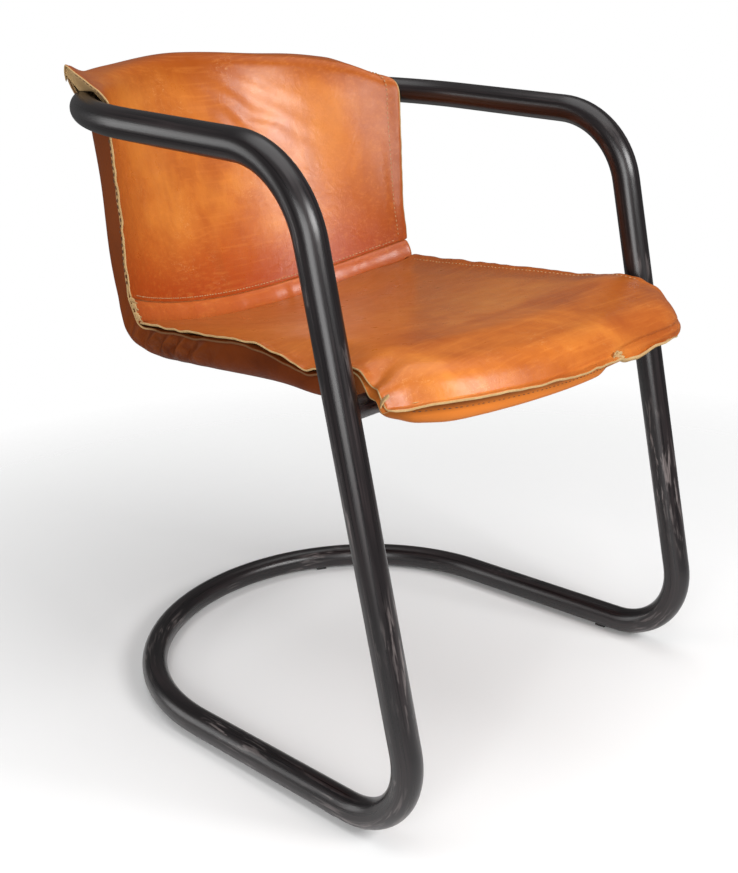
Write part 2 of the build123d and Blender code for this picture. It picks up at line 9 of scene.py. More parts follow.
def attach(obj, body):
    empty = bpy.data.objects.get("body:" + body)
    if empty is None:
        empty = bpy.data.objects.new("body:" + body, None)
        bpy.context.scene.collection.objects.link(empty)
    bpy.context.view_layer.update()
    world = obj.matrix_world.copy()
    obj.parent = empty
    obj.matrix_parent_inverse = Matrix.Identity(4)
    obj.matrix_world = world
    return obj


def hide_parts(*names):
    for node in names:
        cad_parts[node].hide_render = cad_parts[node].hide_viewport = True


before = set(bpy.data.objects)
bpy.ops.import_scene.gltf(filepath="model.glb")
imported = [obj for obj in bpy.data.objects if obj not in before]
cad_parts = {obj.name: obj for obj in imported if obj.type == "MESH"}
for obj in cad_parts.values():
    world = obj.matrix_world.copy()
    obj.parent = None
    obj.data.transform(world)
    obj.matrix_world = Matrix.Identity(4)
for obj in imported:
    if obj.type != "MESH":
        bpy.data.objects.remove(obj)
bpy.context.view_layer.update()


# Frame tubes: two mirrored runs of cold-bent steel tube that meet at the back of both loops.
# Each goes from the floor loop round the foot bend, up the leg and along the arm to the top loop.
# The welds are ground flush, and the black enamel has rubbed thin along the tube.
tube_radius = 0.016
loop_radius = 0.262
foot_y = -0.307
rail_z = 0.0185
floor_loop = Vector((0, 0.039, rail_z))
leg_foot = Vector((loop_radius, foot_y, rail_z))
leg_top = Vector((loop_radius, -0.185, 0.675))
arm_slope = atan2(0.049, 0.495)
top_loop = Vector((0, 0.310 - loop_radius * cos(arm_slope), 0.724 - loop_radius * sin(arm_slope)))
foot_bend, arm_bend = 0.085, 0.102
tube_sides = 40


def put(tree, kind, values, **settings):
    """Add a shader node, set or link its inputs, and give its outputs."""
    fresh = tree.nodes.new(kind)
    for name, value in settings.items():
        setattr(fresh, name, value)
    for name, value in values.items():
        if isinstance(value, bpy.types.NodeSocket):
            tree.links.new(value, fresh.inputs[name])
        else:
            fresh.inputs[name].default_value = value
    return fresh.outputs


def tint(tree, factor, first, second):
    """Mix two colours by a factor."""
    return put(tree, "ShaderNodeMix", {0: factor, 6: first, 7: second}, data_type="RGBA")[2]


def ease(tree, value, low, high, low_out=0.0, high_out=1.0):
    """Map a value from one span to another, held at both ends."""
    spans = {"Value": value, "From Min": low, "From Max": high, "To Min": low_out, "To Max": high_out}
    return put(tree, "ShaderNodeMapRange", spans)["Result"]


def times(tree, first, second, operation="MULTIPLY"):
    """Combine two values."""
    return put(tree, "ShaderNodeMath", {0: first, 1: second}, operation=operation)[0]


def cloud(tree, vector, scale, detail=4.0, roughness=0.55, distortion=0.0):
    """Noise from 0 to 1."""
    values = {"Vector": vector, "Scale": scale, "Detail": detail, "Roughness": roughness}
    return put(tree, "ShaderNodeTexNoise", values | {"Distortion": distortion})[0]


def stretch(tree, vector, scale):
    """Scale a set of coordinates by axis."""
    return put(tree, "ShaderNodeMapping", {"Vector": vector, "Scale": scale})["Vector"]


def parts_of(tree, vector):
    """The X, Y and Z of a set of coordinates."""
    return put(tree, "ShaderNodeSeparateXYZ", {"Vector": vector})


def new_finish(name):
    """A material with a shader and the coordinates of the piece and of its UV map."""
    made = bpy.data.materials.new(name)
    made.use_nodes = True
    tree = made.node_tree
    shader = tree.nodes["Principled BSDF"]
    places = put(tree, "ShaderNodeTexCoord", {})
    return made, tree, shader, places


def feed(tree, shader, **links):
    """Link values to the shader's sockets, whose names have spaces in place of underscores."""
    for name, value in links.items():
        tree.links.new(value, shader.inputs[name.replace("_", " ")])


def emboss(tree, height, strength, distance, below=None):
    """A bump from a height, over another bump where there is one."""
    values = {"Height": height, "Strength": strength, "Distance": distance}
    if below is not None:
        values["Normal"] = below
    return put(tree, "ShaderNodeBump", values)["Normal"]


def black_enamel(name, along):
    """Black enamel with brown-grey worn streaks along the tube and a few pale scuffs below the arms."""
    made, tree, shader, places = new_finish(name)
    spot = places["UV"] if along else places["Object"]
    streaks = cloud(tree, stretch(tree, spot, (420, 5, 1) if along else (60, 420, 420)), 1.0, 5.0, 0.6)
    patches = cloud(tree, stretch(tree, spot, (40, 7, 1) if along else (8, 8, 8)), 1.0, 3.0, 0.5)
    worn = times(tree, ease(tree, streaks, 0.4, 0.7), ease(tree, patches, 0.35, 0.75))
    colour = tint(tree, worn, (0.0050, 0.0036, 0.0042, 1), (0.036, 0.024, 0.025, 1))
    lines = cloud(tree, stretch(tree, spot, (230, 24, 1) if along else (30, 200, 200)), 1.0, 3.0, 0.6, 0.6)
    where = cloud(tree, stretch(tree, spot, (16, 6, 1) if along else (9, 9, 9)), 1.0, 1.0)
    scuffs = times(tree, ease(tree, lines, 0.53, 0.63), ease(tree, where, 0.47, 0.62, 0.0, 0.65))
    height = parts_of(tree, places["Object"])["Z"]
    scuffs = times(tree, scuffs, ease(tree, height, 0.675, 0.630))
    feed(tree, shader, Base_Color=tint(tree, scuffs, colour, (0.2, 0.17, 0.165, 1)))
    feed(tree, shader, Roughness=ease(tree, streaks, 0.2, 0.8, 0.22, 0.38))
    feed(tree, shader, Normal=emboss(tree, streaks, 0.08, 0.0006))
    shader.inputs["Specular IOR Level"].default_value = 0.55
    return made


def finished(name, mesh_maker, *materials):
    """Turn a bmesh into a smooth piece of the object that rides on its one body."""
    mesh = bpy.data.meshes.new(name)
    mesh_maker.to_mesh(mesh)
    mesh_maker.free()
    piece = bpy.data.objects.new(name, mesh)
    bpy.context.scene.collection.objects.link(piece)
    for material in materials:
        mesh.materials.append(material)
    mesh.shade_smooth()
    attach(piece, "root")
    return piece


def bent_tube(side):
    """One half of the frame, as a ring that is spun round each bend and drawn out along each run."""
    made = bmesh.new()
    start = Matrix.Translation((0, floor_loop.y + loop_radius, rail_z)) @ Matrix.Rotation(pi / 2, 4, "Y")
    bmesh.ops.create_circle(made, segments=tube_sides, radius=tube_radius, matrix=start)
    ring = list(made.edges)
    leg_way = (leg_top - leg_foot).normalized()
    arm_way = Vector((0, cos(arm_slope), sin(arm_slope)))

    def edges_of(parts):
        return [part for part in parts if isinstance(part, bmesh.types.BMEdge)]

    def turn(ring, centre, axis, angle, steps):
        spun = bmesh.ops.spin(made, geom=ring, cent=centre, axis=axis, angle=angle, steps=steps)
        return edges_of(spun["geom_last"])

    def draw_out(ring, move, steps):
        for _ in range(steps):
            drawn = bmesh.ops.extrude_edge_only(made, edges=ring)["geom"]
            ring = [edge for edge in edges_of(drawn) if len(edge.link_faces) == 1]
            fresh = {vert for edge in ring for vert in edge.verts}
            bmesh.ops.translate(made, verts=list(fresh), vec=move / steps)
        return ring

    foot_turn = pi - atan2(leg_way.z, leg_way.y)
    arm_turn = atan2(leg_way.z, leg_way.y) - arm_slope
    foot_set = foot_bend * tan(foot_turn / 2)
    arm_set = arm_bend * tan(arm_turn / 2)
    rail_end = leg_foot + Vector((0, foot_set, 0))
    leg_start = leg_foot + leg_way * foot_set
    leg_end = leg_top - leg_way * arm_set
    arm_start = leg_top + arm_way * arm_set
    arm_end = Vector((loop_radius, top_loop.y, top_loop.z))
    ring = turn(ring, floor_loop, (0, 0, 1), -pi / 2, 40)
    ring = draw_out(ring, rail_end - Vector((loop_radius, floor_loop.y, rail_z)), 6)
    ring = turn(ring, rail_end + Vector((0, 0, foot_bend)), (1, 0, 0), -foot_turn, 20)
    ring = draw_out(ring, leg_end - leg_start, 12)
    bend_centre = leg_end + Vector((0, leg_way.z, -leg_way.y)) * arm_bend
    ring = turn(ring, bend_centre, (1, 0, 0), -arm_turn, 18)
    ring = draw_out(ring, arm_end - arm_start, 4)
    turn(ring, top_loop, (0, -sin(arm_slope), cos(arm_slope)), pi / 2, 40)
    made.verts.index_update()
    uv = made.loops.layers.uv.new("UVMap")
    rings = [made.verts[:][i:i + tube_sides] for i in range(0, len(made.verts), tube_sides)]
    middles = [sum((vert.co for vert in one), Vector()) / tube_sides for one in rings]
    length = [0.0]
    for one, two in zip(middles, middles[1:]):
        length.append(length[-1] + (two - one).length)
    around = 2 * pi * tube_radius / tube_sides
    for face in made.faces:
        spots = [divmod(loop.vert.index, tube_sides) for loop in face.loops]
        wraps = {spot for _, spot in spots} == {0, tube_sides - 1}
        for loop, (row, spot) in zip(face.loops, spots):
            loop[uv].uv = ((tube_sides if wraps and spot == 0 else spot) * around, length[row])
    if side < 0:
        bmesh.ops.scale(made, verts=made.verts, vec=(-1, 1, 1))
    bmesh.ops.recalc_face_normals(made, faces=made.faces)
    return made


tube_enamel = black_enamel("tube_enamel", along=True)
for hand, side in (("left", 1), ("right", -1)):
    tube = finished(f"tube_{hand}", bent_tube(side), tube_enamel)
    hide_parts(f"frame_tube_{hand}")


# Steel inside the upholstery and between the legs: the cross tube, the tabs welded to the two tubes,
# the bolts, barrel nuts and spigots. The cross tube and tabs are enamelled with the frame.
plain_enamel = black_enamel("plain_enamel", along=False)


def zinc_steel():
    """Dull zinc plate with faint cloudy grain."""
    made, tree, shader, places = new_finish("zinc_plate")
    grain = cloud(tree, places["Object"], 260.0, 4.0)
    feed(tree, shader, Base_Color=tint(tree, grain, (0.32, 0.33, 0.35, 1), (0.52, 0.53, 0.54, 1)))
    feed(tree, shader, Roughness=ease(tree, grain, 0.2, 0.8, 0.32, 0.5))
    shader.inputs["Metallic"].default_value = 1.0
    return made


def dress(node, material):
    """Give a carried-over node its finish."""
    shown = bpy.data.objects[node]
    shown.data.materials.clear()
    shown.data.materials.append(material)


zinc_plate = zinc_steel()
for node in ("front_cross_tube", "seat_tab_left", "seat_tab_right", "back_tab_left", "back_tab_right"):
    dress(node, plain_enamel)
for node in ("floor_spigot", "top_spigot", "seat_bolts", "back_bolts", "seat_tee_nuts", "back_tee_nuts"):
    dress(node, zinc_plate)


# Floor glides: four small black plastic saddles under the floor loop, each with a peg in the tube.
# They keep the enamel off the floor, and only their finish is given here.
def glide_black():
    """Matt black plastic with a fine moulded texture and dusty patches."""
    made, tree, shader, places = new_finish("glide_plastic")
    dust = cloud(tree, places["Object"], 90.0, 5.0)
    feed(tree, shader, Base_Color=tint(tree, dust, (0.01, 0.01, 0.01, 1), (0.03, 0.029, 0.028, 1)))
    feed(tree, shader, Normal=emboss(tree, cloud(tree, places["Object"], 1800.0, 2.0), 0.2, 0.0002))
    shader.inputs["Roughness"].default_value = 0.6
    return made


glide_plastic = glide_black()
for place in ("front", "rear"):
    for hand in ("left", "right"):
        dress(f"glide_{place}_{hand}", glide_plastic)


# Shell: a moulded ply bucket that no side of the chair shows. It carries the padding and takes the bolts,
# and only its finish is given here.
def bare_ply():
    """Pale unfinished ply with long grain."""
    made, tree, shader, places = new_finish("moulded_ply")
    grain = cloud(tree, stretch(tree, places["Object"], (14, 180, 180)), 1.0, 5.0)
    feed(tree, shader, Base_Color=tint(tree, grain, (0.42, 0.26, 0.13, 1), (0.6, 0.42, 0.24, 1)))
    shader.inputs["Roughness"].default_value = 0.7
    return made


dress("shell", bare_ply())


# Seat: one tan leather panel over foam, from the stitched front edge over the front roll to the fold.
# Its side and front edges are raw cut, sewn through to the outer cover and left to wave.
# The corners of the line are those of the solids.
FRONT, NOSE, CREST, FOLD, STRIP_TOP, TOP_FRONT, TOP_REAR, SLEEVE_BOTTOM, SLEEVE_END = range(9)
half_width = 0.230
flat_half = 0.192
seam_inset = 0.009
rim_width = 0.009
leather = 0.0028
cover_gap = 0.038
seam_gap = 0.0034
roll_radius, crest_radius = 0.040, 0.090
near_curl_y = -0.258
near_part_y = -0.236


def fall(x, depth):
    """How far a circular arc that falls by depth at the side edges has fallen at x."""
    radius = (half_width**2 + depth**2) / (2 * depth)
    return radius - sqrt(radius**2 - min(abs(x), half_width) ** 2)


def hump(value, middle, width):
    """A smooth bump of height 1."""
    return exp(-(((value - middle) / width) ** 2))


def step(value, low, high):
    """0 below a span, 1 above it, smooth between."""
    share = min(1.0, max(0.0, (value - low) / (high - low)))
    return share * share * (3 - 2 * share)


def on_line(start, way, height):
    """The point of a line in an upright section at a height."""
    return start + way * ((height - start.y) / way.y)


def right_of(way):
    """The direction to the right of a direction in an upright section."""
    return Vector((way.y, -way.x))


def slant(x):
    """How much longer an upright section through the curved back is than one square to it."""
    return loop_radius / sqrt(loop_radius**2 - x**2)


def tube_middle(x):
    """The top tube's centre in the upright section at x."""
    run = sqrt(loop_radius**2 - x**2)
    return Vector((top_loop.y + run * cos(arm_slope), top_loop.z + run * sin(arm_slope)))


def skin(x):
    """Corners of the visible leather's line in the upright section at x, as (y, z)."""
    share = min(1.0, (x / half_width) ** 2)
    front = Vector((foot_y - 0.025 + 0.060 * share, 0.455))
    nose = front + Vector((0.014, 0.027))
    crest = Vector((front.x + 0.075, 0.492 - 0.005 * share))
    fold = Vector((0.196 - fall(x, 0.078), 0.443 + 0.042 * share))
    strip_top = fold + Vector((cos(radians(68)), sin(radians(68)))) * 0.026
    tube = tube_middle(x)
    gauge = Vector((0.265 - loop_radius + sqrt(loop_radius**2 - x**2), 0.700))
    back_way = (gauge - strip_top).normalized()
    top_front = on_line(strip_top, back_way, tube.y + 0.038 - 0.0265 * share)
    rear = tube.x + (tube_radius + 0.006) * slant(x)
    top_rear = Vector((rear, tube.y + 0.038))
    sleeve_bottom = Vector((rear, tube.y - tube_radius - 0.006))
    cover_point = strip_top + right_of(back_way) * (cover_depth(x) * slant(x))
    sleeve_end = on_line(cover_point, back_way, tube.y - tube_radius - 0.022) + Vector((0.0035, 0))
    return [front, nose, crest, fold, strip_top, top_front, top_rear, sleeve_bottom, sleeve_end]


def cover_depth(x):
    """How far the outer cover lies behind the visible leather at x."""
    past = max(0.0, abs(x) - flat_half) / 0.030
    return seam_gap + (cover_gap - seam_gap) * sqrt(max(0.0, 1 - past**2))


def rounded(corners, radii):
    """Points along a line of straight runs with its corners rounded."""
    points = [corners[0]]
    for before, corner, after, radius in zip(corners, corners[1:], corners[2:], radii):
        into, out = (corner - before).normalized(), (after - corner).normalized()
        setback = radius * tan(into.angle(out, 0.0) / 2)
        start, end = corner - into * setback, corner + out * setback
        for share in [i / 10 for i in range(11)] if setback > 1e-5 else [0.5]:
            points.append(start.lerp(corner, share).lerp(corner.lerp(end, share), share))
    points.append(corners[-1])
    return points


def walk(points, share):
    """The point at a share of a line's length."""
    length = [0.0]
    for one, two in zip(points, points[1:]):
        length.append(length[-1] + (two - one).length)
    target = share * length[-1]
    at = min(bisect_right(length, target) - 1, len(points) - 2)
    run = length[at + 1] - length[at]
    return points[at].lerp(points[at + 1], (target - length[at]) / run if run else 0.0)


def panel(columns, rows, place, outward=True):
    """A grid of leather, each point set by its share across and along, with its normals outwards."""
    made = bmesh.new()
    made.loops.layers.uv.new("UVMap")
    bmesh.ops.create_grid(made, x_segments=columns, y_segments=rows, size=0.5, calc_uvs=True)
    for vert in made.verts:
        vert.co = place(vert.co.x + 0.5, vert.co.y + 0.5)
    if not outward:
        bmesh.ops.reverse_faces(made, faces=made.faces)
    return made


def ripple(along, seed, size=1.0):
    """An uneven wave along a cut edge, from about -1 to 1."""
    slow = noise.noise(Vector((along * 14 * size, seed, 0.5)))
    quick = noise.noise(Vector((along * 70 * size, seed + 3.7, 1.5)))
    return 1.2 * slow + 1.1 * quick


def tan_leather(name, seat_with_shaded_rear, reddened=0.0):
    """Waxed tan hide: cloudy colour, pale scratches, fine grain and a soft shine, with painted shade by the
    seams, in drape folds, over the top ridge and towards the seat's rear, and burnish with painted shade
    along the panel edges.
    """
    made, tree, shader, places = new_finish(name)
    spot = places["Object"]
    clouds = cloud(tree, spot, 7.0, 5.0, 0.6, 0.4)
    mottle = cloud(tree, spot, 38.0, 6.0, 0.65)
    deep, middle, light = (0.32, 0.066, 0.009, 1), (0.53, 0.150, 0.021, 1), (0.70, 0.255, 0.040, 1)
    colour = tint(tree, ease(tree, clouds, 0.3, 0.55), deep, middle)
    colour = tint(tree, ease(tree, clouds, 0.52, 0.78), colour, light)
    colour = tint(tree, ease(tree, mottle, 0.35, 0.75, 0.0, 0.35), colour, (0.40, 0.098, 0.014, 1))
    at, share = parts_of(tree, spot), parts_of(tree, places["UV"])
    depth, height = at["Y"], at["Z"]
    if seat_with_shaded_rear:
        # Painted shade and reflection: the seat is darker and browner towards the back, where the back shades
        # it and shows in its shine.
        rear = times(tree, depth, times(tree, clouds, 0.12), "ADD")
        colour = tint(tree, ease(tree, rear, -0.16, 0.12, 0.0, 0.75), colour, (0.31, 0.092, 0.022, 1))
        folds, shine, wax = (5, 22, 22), 0.28, 0.05
    else:
        low = times(tree, height, times(tree, clouds, 0.10), "ADD")
        colour = tint(tree, ease(tree, low, 0.640, 0.560, 0.0, 0.6), colour, (0.40, 0.068, 0.008, 1))
        seam_shade = ease(tree, share["Y"], 0.17, 0.03, 0.0, 0.8)
        seam_shade = times(tree, seam_shade, ease(tree, clouds, 0.3, 0.6, 0.6, 1.0))
        colour = tint(tree, seam_shade, colour, (0.33, 0.040, 0.004, 1))
        folds, shine, wax = (26, 26, 5), 0.42, 0.10
    # Painted shade: the back's top ridge is darker, where the roll turns away from the light.
    colour = tint(tree, ease(tree, height, 0.715, 0.760, 0.0, 0.85), colour, (0.29, 0.056, 0.005, 1))
    # Burnish and painted shade: the panels are darker along their side edges, partly burnished hide and
    # partly painted shade where the edges turn in at the seams.
    aside = times(tree, times(tree, share["X"], 0.5, "SUBTRACT"), 0.0, "ABSOLUTE")
    burnish_and_shade = times(tree, ease(tree, aside, 0.39, 0.49, 0.0, 0.6), ease(tree, clouds, 0.25, 0.6, 0.5, 1.0))
    colour = tint(tree, burnish_and_shade, colour, (0.30, 0.058, 0.007, 1))
    # Painted shade: darker streaks along the drape folds.
    fold_shade = cloud(tree, stretch(tree, spot, folds), 1.0, 3.0, 0.5, 0.5)
    colour = tint(tree, ease(tree, fold_shade, 0.50, 0.72, 0.0, 0.45), colour, (0.34, 0.070, 0.009, 1))
    # The strip is tinted darker and redder than the hide beside it.
    colour = tint(tree, reddened, colour, (0.42, 0.092, 0.025, 1))
    grain = cloud(tree, stretch(tree, spot, (12, 260, 220)), 1.0, 3.0, 0.6, 0.2)
    colour = tint(tree, ease(tree, grain, 0.50, 0.80, 0.0, 0.28), colour, (0.74, 0.26, 0.05, 1))
    lines = cloud(tree, stretch(tree, spot, (34, 90, 60)), 1.0, 2.0, 0.5, 2.4)
    scratch = put(tree, "ShaderNodeMath", {0: lines, 1: 0.5, 2: 0.005}, operation="COMPARE")[0]
    scratch = times(tree, scratch, ease(tree, cloud(tree, spot, 12.0, 2.0), 0.52, 0.66, 0.0, 0.4))
    colour = tint(tree, scratch, colour, (0.78, 0.42, 0.17, 1))
    feed(tree, shader, Base_Color=colour)
    feed(tree, shader, Roughness=ease(tree, mottle, 0.25, 0.8, 0.24, 0.42))
    pores = put(tree, "ShaderNodeTexVoronoi", {"Vector": spot, "Scale": 620.0}, feature="DISTANCE_TO_EDGE")[0]
    creases = cloud(tree, stretch(tree, spot, (60, 34, 40)), 1.0, 5.0, 0.6, 1.5)
    bump = emboss(tree, grain, 0.10, 0.0008, emboss(tree, pores, 0.12, 0.0006))
    feed(tree, shader, Normal=emboss(tree, creases, 0.22, 0.0016, bump))
    feed(tree, shader, Specular_IOR_Level=ease(tree, height, 0.705, 0.745, shine, 0.14))
    shader.inputs["Coat Weight"].default_value = wax
    shader.inputs["Coat Roughness"].default_value = 0.28
    return made


def cut_suede(name, shadow_sides=0.0):
    """The hide's flesh side and cut edge: pale, fibrous and matt, and if asked darkened beside the seat with
    painted shadow from the tan edge above.
    """
    made, tree, shader, places = new_finish(name)
    fibres = cloud(tree, places["Object"], 520.0, 5.0, 0.7)
    patches = cloud(tree, places["Object"], 60.0, 4.0)
    colour = tint(tree, fibres, (0.33, 0.19, 0.075, 1), (0.62, 0.44, 0.22, 1))
    colour = tint(tree, ease(tree, patches, 0.4, 0.75, 0.0, 0.5), colour, (0.36, 0.2, 0.08, 1))
    # Painted shadow: the cut edge is darkened along the seat's sides, where it lies in the shadow gap under
    # the tan raw edge.
    reach = parts_of(tree, places["Object"])["Y"]
    beside = times(tree, ease(tree, reach, -0.20, -0.16), ease(tree, reach, 0.115, 0.085, 0.0, shadow_sides))
    colour = tint(tree, beside, colour, (0.085, 0.024, 0.007, 1))
    feed(tree, shader, Base_Color=colour)
    feed(tree, shader, Normal=emboss(tree, fibres, 0.5, 0.0008))
    shader.inputs["Roughness"].default_value = 0.9
    shader.inputs["Specular IOR Level"].default_value = 0.15
    return made


def hide_thickness(piece, thickness=leather, flesh=1):
    """Give a leather panel its thickness inwards, with the suede on its cut edges and on its flesh side."""
    wall = piece.modifiers.new("hide", "SOLIDIFY")
    wall.thickness = thickness
    wall.offset = -1.0
    wall.material_offset = flesh
    wall.material_offset_rim = 1
    finer = piece.modifiers.new("soften", "SUBSURF")
    finer.levels = finer.render_levels = 1


seat_lines = {}


def fullness(x):
    """How far the far front corner stands out and the near one is drawn back."""
    return 0.026 * hump(x, 0.185, 0.070) - 0.012 * step(-x, 0.17, half_width)


def far_corner(x, y):
    """How far the far side is drawn in at its front corner."""
    return 0.006 * step(x, 0.17, half_width) * step(-y, 0.22, 0.30)


def far_flare(x):
    """How far the far side stands out where the seat meets the back."""
    return 0.006 * step(x, 0.185, half_width)


def seat_line(x):
    """The seat panel's rounded line at x, with the free margin of its front seam."""
    key = round(x, 5)
    if key not in seat_lines:
        corners = skin(x)[FRONT:FOLD + 1]
        corners[0] = corners[0] - Vector((fullness(x), 0))
        corners[1] = corners[1] - Vector((fullness(x) * 0.9, 0))
        past_knot = step(x, 0.018, 0.045)
        hangs = past_knot * (1 - 0.7 * step(x, 0.165, half_width))
        ragged = hump(x, -0.02, 0.06)
        frayed = (0.0012 + 0.0012 * ragged) * ripple(x, 11.0, 1.4)
        flared = Vector((-0.0060 - 0.0030 * ragged, 0.0010 + frayed))
        hung = Vector((0.0010 - 0.006 * hump(x, 0.07, 0.03), -0.0100 + 0.0015 * ripple(x, 12.0)))
        margin = corners[0] + flared.lerp(hung, hangs)
        lip = margin + Vector((-0.0030, 0.0042)) * past_knot * (1 - step(x, 0.10, 0.18))
        seat_lines[key] = rounded([lip, margin] + corners, [0.0008, 0.002, roll_radius, crest_radius])
    return seat_lines[key]


def edge_sag(x, y):
    """How far the seat's side edges fall or rise between the places that hold them."""
    edge = half_width - abs(x)
    wide, narrow = hump(edge, 0.0, 0.035), hump(edge, 0.0, 0.012)
    corner = -0.003 * wide * hump(y, -0.275, 0.035)
    if x < 0:
        fallen = 0.011 * hump(edge, 0.0, 0.020) * hump(y, -0.235, 0.013)
        fallen += 0.013 * wide * hump(y, -0.150, 0.045)
        return corner - fallen + 0.003 * narrow * hump(y, -0.045, 0.05)
    full = 0.009 * hump(edge, 0.0, 0.075) * hump(y, -0.228, 0.048)
    return corner + full + 0.0045 * narrow * step(y, -0.20, -0.10)


def seat_place(across, along):
    """A point of the seat panel."""
    x = (2 * across - 1) * half_width
    spot = walk(seat_line(x), along**1.5)
    side = 1 if x > 0 else -1
    edge = half_width - abs(x)
    rim = hump(edge, 0.0, rim_width)
    wave = (0.0030 if side < 0 else 0.0016) * ripple(spot.x, 5.0 if side > 0 else 2.0)
    lift = edge_sag(x, spot.x) + wave * rim - 0.0014 * hump(edge, seam_inset, 0.003)
    crown = 0.004 * step(edge, 0.0, 0.06) * step(spot.x, -0.33, -0.2)
    welt = 0.0045 * step(x, 0.03, 0.06) * hump(spot.y, 0.4565, 0.0022) * step(-spot.x, 0.25, 0.27)
    out = side * 0.0018 * ripple(spot.x, 8.0 if side > 0 else 9.0, 1.6) * rim
    if side < 0:
        out -= 0.012 * rim * hump(spot.x, near_curl_y, 0.016)
    else:
        out += far_flare(x) * step(spot.x, 0.02, 0.12) - far_corner(x, spot.x)
    return Vector((x + out, spot.x + welt, spot.y + lift + crown))


suede = cut_suede("cut_suede")
seat_leather = tan_leather("seat_leather", seat_with_shaded_rear=True)
seat = finished("seat", panel(columns=92, rows=112, place=seat_place), seat_leather, suede)
hide_thickness(seat)
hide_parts("seat_panel", "seat_foam", "front_roll_foam")


# Lumbar strip: a narrow tan band sewn between the seat and the back, drawn tight along both seams,
# a little puckered, and tinted darker and redder than the hide beside it.
def strip_place(across, along):
    """A point of the lumbar strip."""
    x = (2 * across - 1) * (half_width - 0.001)
    corners = skin(x)
    spot = corners[FOLD].lerp(corners[STRIP_TOP], -0.06 + 1.12 * along)
    way = (corners[STRIP_TOP] - corners[FOLD]).normalized()
    puff = (0.0046 + 0.0012 * ripple(x, 21.0, 1.6)) * sin(pi * along) ** 0.6 - 0.0022
    spot = spot - right_of(way) * puff
    return Vector((x + far_flare(x), spot.x, spot.y))


strip_leather = tan_leather("strip_leather", seat_with_shaded_rear=False, reddened=0.5)
strip = finished("strip", panel(columns=92, rows=10, place=strip_place), strip_leather, suede)
hide_thickness(strip)
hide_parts("lumbar_strip")


# Back: one tan leather panel from the strip up over the padded ridge, round the top tube and down behind,
# so that it makes the sleeve that hangs on the tube. The sleeve's ends are open and show the flesh side.
back_lines = {}


def back_line(x):
    """The back panel's rounded line at x, with the near end of the sleeve lifted off the tube to a point."""
    key = round(x, 5)
    if key not in back_lines:
        corners = skin(x)[STRIP_TOP:]
        crown = 0.0055 * step(x, -0.12, 0.0) * (1 - step(x, 0.195, 0.23)) + 0.003 * hump(x, 0.165, 0.04)
        lifted = step(-x, 0.165, half_width)
        settled = step(x, 0.195, half_width)
        corners[1] += Vector((0, crown))
        corners[2] += Vector((-0.013 * lifted, crown + 0.012 * lifted - 0.010 * settled))
        back_lines[key] = rounded(corners, [0.025 - 0.008 * lifted, 0.025 - 0.021 * lifted, 0.010])
    return back_lines[key]


def back_place(across, along):
    """A point of the back panel, whose sleeve is cut away behind the tube at both ends."""
    x = (2 * across - 1) * half_width
    side = 1 if x > 0 else -1
    edge = half_width - abs(x)
    corners = skin(x)[STRIP_TOP:]
    runs = [(two - one).length for one, two in zip(corners, corners[1:])]
    over = sum(runs[:2]) / sum(runs)
    past = (along - over) / (1 - over)
    cut = 0.106 * step(past, -0.06, 1.06)
    x -= side * cut * step(abs(x), 0.12, half_width)
    spot = walk(back_line(x), along)
    rim = (0.0016 if side < 0 else 0.0005) * hump(edge, 0.0, rim_width)
    below = 1 - step(spot.y, 0.68, 0.71)
    wave = ripple(spot.y * 1.3, 31.0 if side > 0 else 33.0)
    push = (wave * rim + 0.0016 * hump(edge, seam_inset, 0.003)) * below
    out = side * ripple(spot.y, 35.0 if side > 0 else 36.0, 1.6) * rim
    pull = (x - 0.02) * 0.75 + (spot.y - 0.70) * 1.2
    folds = sin(pull * 2 * pi / 0.040 + 2.5 * noise.noise(Vector((x * 22, spot.y * 22, 4.0))))
    push += 0.0008 * folds * hump(x, 0.06, 0.07) * hump(spot.y, 0.69, 0.05) * (1 - step(along, 0.6, 0.68))
    out += far_flare(x) * (1 - step(spot.y, 0.495, 0.570))
    return Vector((x + out, spot.x + push, spot.y))


back_leather = tan_leather("back_leather", seat_with_shaded_rear=False)
back = finished("back", panel(columns=96, rows=110, place=back_place), back_leather, suede)
hide_thickness(back)
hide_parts("back_panel", "back_foam", "top_roll_foam")


